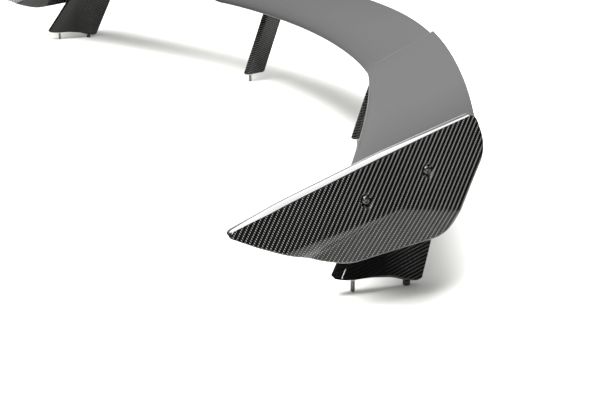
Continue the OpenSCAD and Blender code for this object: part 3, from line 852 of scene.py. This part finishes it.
def screw_mesh(bm, place_at):
    """A button-head screw with a hex socket, pointing along +X from its seat."""
    head_r, head_h, socket_r, length = 0.00475, 0.0028, 0.00175, 0.020
    sphere = 0.0062
    turns = 72
    angles = np.arange(turns) * 2 * math.pi / turns
    rim_h = head_h - sphere + math.sqrt(sphere ** 2 - head_r ** 2)
    rings = [(THREAD_R - 0.0004, -length), (THREAD_R, -length + 0.0004), (THREAD_R, 0.0),
             (head_r - 0.0002, 0.0), (head_r, 0.0002), (head_r, rim_h - 0.0001)]
    for r in np.linspace(head_r - 0.0001, socket_r + 0.0004, 9):
        rings.append((r, head_h - sphere + math.sqrt(sphere ** 2 - r ** 2)))
    top = rings[-1][1]
    loops = [[(h, r * math.cos(a), r * math.sin(a)) for a in angles] for r, h in rings]
    for extra, h in ((0.00015, top), (0.0, top - 0.0002), (0.0, top - 0.0016)):
        radii = hexagon(socket_r + extra, angles)
        loops.append([(h, r * math.cos(a), r * math.sin(a)) for r, a in zip(radii, angles)])
    loops.append([(top - 0.0020, 0.0004 * math.cos(a), 0.0004 * math.sin(a)) for a in angles])
    seat, y0, z0 = place_at
    part = ring_mesh([[(seat - h, y0 + y, z0 + z) for h, y, z in loop] for loop in loops], ends="face")
    add_part(bm, part)


def build_screws():
    bm = bmesh.new()
    for y in SCREW_YS:
        screw_mesh(bm, screw_place(y))
    place_pair(finish_mesh("left_button_screws", bm, black_steel, 35), "steel", "endplate_screws")


# ---- CAD nodes that stay as they are -----------------------------------------------------------
def dress_hidden_nodes():
    """Gives the inner CAD nodes their materials; a core that a piece replaces is not seen."""
    for name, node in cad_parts.items():
        for part, material in (("core", foam), ("rib", aluminium), ("hardpoint", aluminium),
                               ("spine", aluminium), ("inserts", brass)):
            if part in name:
                node.data.materials.clear()
                node.data.materials.append(material)


# ---- floor, light and camera -------------------------------------------------------------------
def build_floor():
    mesh = bpy.data.meshes.new("floor")
    half = 12.0
    mesh.from_pydata([(-half, -half, 0), (half, -half, 0), (half, half, 0), (-half, half, 0)], [],
                     [(0, 1, 2, 3)])
    nodes = Nodes("floor_paper")
    tone = nodes.noise(nodes.place(), 3.0)
    nodes.set(base_color=nodes.colour_mix(tone, grey(0.70), grey(0.74)), roughness=0.7,
              specular_ior_level=0.2)
    mesh.materials.append(nodes.material)
    floor = bpy.data.objects.new("floor", mesh)
    bpy.context.scene.collection.objects.link(floor)


def soft_box(name, at, target, size, power):
    light = bpy.data.lights.new(name, "AREA")
    light.shape = "RECTANGLE"
    light.size, light.size_y = size
    light.energy = power
    lamp = bpy.data.objects.new(name, light)
    lamp.location = at
    lamp.rotation_euler = (Vector(target) - Vector(at)).to_track_quat("-Z", "Y").to_euler()
    bpy.context.scene.collection.objects.link(lamp)


def build_world():
    """A studio that is pale behind the wing's far side and dim around the near endplate."""
    world = bpy.data.worlds.new("studio")
    bpy.context.scene.world = world
    world.use_nodes = True
    tree = world.node_tree
    tree.nodes.clear()
    coordinates = tree.nodes.new("ShaderNodeTexCoord")
    facing = tree.nodes.new("ShaderNodeVectorMath")
    facing.operation = "DOT_PRODUCT"
    facing.inputs[1].default_value = (0.90, -0.35, 0.25)
    spread = tree.nodes.new("ShaderNodeMapRange")
    spread.inputs["From Min"].default_value = -0.1
    spread.inputs["From Max"].default_value = 0.8
    spread.inputs["To Min"].default_value = 0.06
    spread.inputs["To Max"].default_value = 0.85
    shade = tree.nodes.new("ShaderNodeBackground")
    output = tree.nodes.new("ShaderNodeOutputWorld")
    tree.links.new(coordinates.outputs["Generated"], facing.inputs[0])
    tree.links.new(facing.outputs["Value"], spread.inputs["Value"])
    tree.links.new(spread.outputs["Result"], shade.inputs["Color"])
    tree.links.new(shade.outputs[0], output.inputs["Surface"])


def build_camera():
    """An 85 mm lens near the left endplate, looking down along the wing."""
    data = bpy.data.cameras.new("camera")
    data.sensor_width = 36.0
    data.lens = 85.0
    data.clip_end = 60.0
    camera = bpy.data.objects.new("camera", data)
    yaw, pitch, roll = (math.radians(a) for a in (-19.83, 16.57, -0.55))
    look = Vector((math.cos(pitch) * math.cos(yaw), math.cos(pitch) * math.sin(yaw), -math.sin(pitch)))
    turn = look.to_track_quat("-Z", "Y").to_matrix() @ Matrix.Rotation(roll, 3, "Z")
    camera.matrix_world = turn.to_4x4()
    camera.location = (-2.0813, 0.6208, 0.5095)
    bpy.context.scene.collection.objects.link(camera)
    bpy.context.scene.camera = camera


build_floor()
build_world()
soft_box("overhead", (-0.30, 0.10, 2.1), (-0.10, -0.10, 0.0), (2.2, 2.2), 195.0)
soft_box("nose_strip", (-2.60, 0.30, 1.05), (-0.81, 0.115, 0.03), (0.04, 0.80), 7.0)
soft_box("key", (-1.80, 0.60, 2.0), (-0.87, 0.08, 0.12), (0.55, 0.55), 32.0)
build_camera()
build_wing()
build_endplates()
build_struts()
build_fasteners()
build_screws()
dress_hidden_nodes()
bpy.context.scene.view_settings.view_transform = "Standard"
